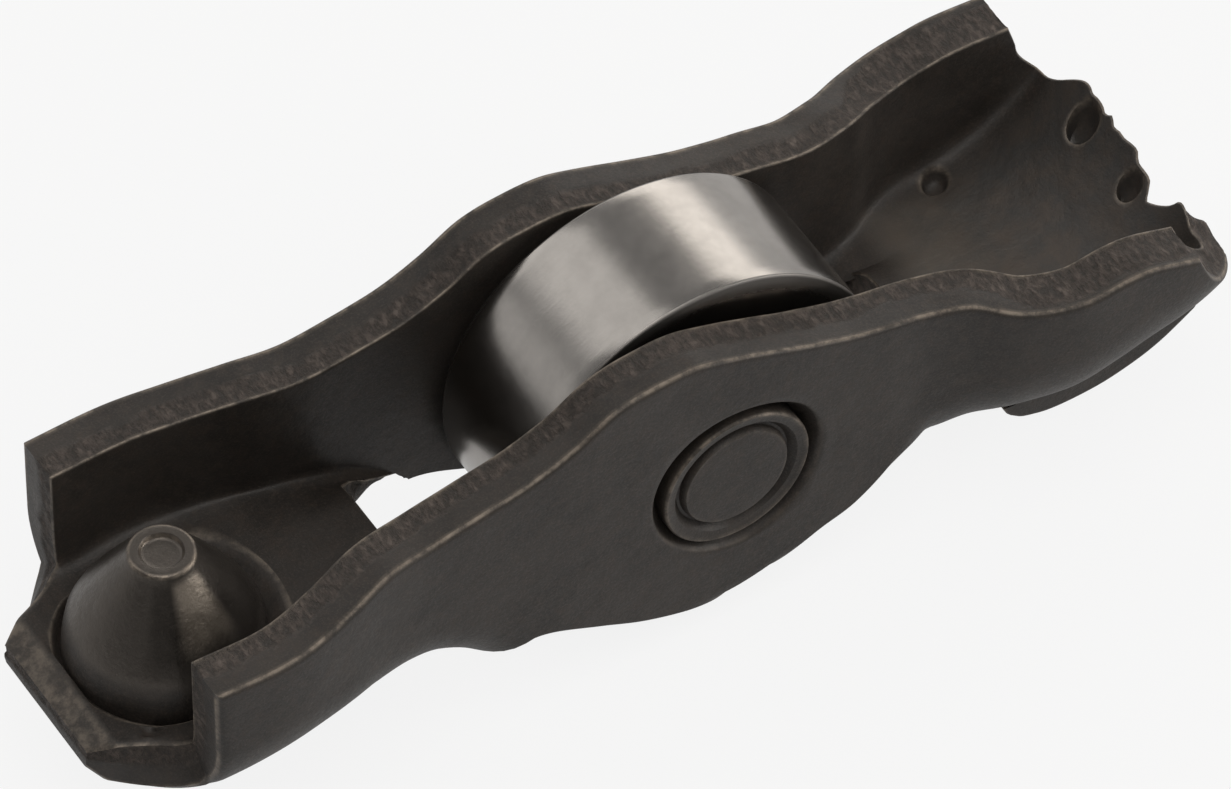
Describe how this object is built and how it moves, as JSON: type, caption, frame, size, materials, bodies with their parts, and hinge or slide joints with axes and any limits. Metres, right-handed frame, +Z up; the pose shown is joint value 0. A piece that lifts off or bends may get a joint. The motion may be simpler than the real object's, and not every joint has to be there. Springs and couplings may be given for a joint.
{
  "type": "rocker arm",
  "caption": "Roller finger follower for a valve train: stamped channel arm with a domed pivot socket, a needle-bearing cam roller and a curved valve pad.",
  "frame": {"origin": "centre of the pivot ball in the socket under the dome", "axes": "+X along the arm towards the valve, +Y along the axle, +Z up, away from the pivot and the valve"},
  "size_m": [0.0548, 0.0172, 0.0174],
  "materials": {
    "arm_steel": "blackened",
    "pin_steel": "blackened",
    "roller_steel": "ground",
    "needle_steel": "ground"
  },
  "bodies": {
    "arm": {"arm_body": "arm_steel", "axle_pin": "pin_steel"},
    "needle_row": {"needle_01": "needle_steel", "needle_02": "needle_steel", "needle_03": "needle_steel", "needle_04": "needle_steel", "needle_05": "needle_steel", "needle_06": "needle_steel", "needle_07": "needle_steel", "needle_08": "needle_steel", "needle_09": "needle_steel", "needle_10": "needle_steel", "needle_11": "needle_steel", "needle_12": "needle_steel", "needle_13": "needle_steel", "needle_14": "needle_steel", "needle_15": "needle_steel", "needle_16": "needle_steel", "needle_17": "needle_steel", "needle_18": "needle_steel"},
    "roller": {"roller_ring": "roller_steel"}
  },
  "joints": [
    {"name": "roller_spin", "type": "hinge", "parent": "arm", "child": "roller", "pos_m": [0.0243, 0, 0.0022], "axis": [0, 1, 0], "continuous": true},
    {"name": "needle_orbit", "type": "hinge", "parent": "arm", "child": "needle_row", "pos_m": [0.0243, 0, 0.0022], "axis": [0, 1, 0], "continuous": true}
  ],
  "couplings": [
    {"joint": "needle_orbit", "follows": "roller_spin", "ratio": 0.58911}
  ]
}
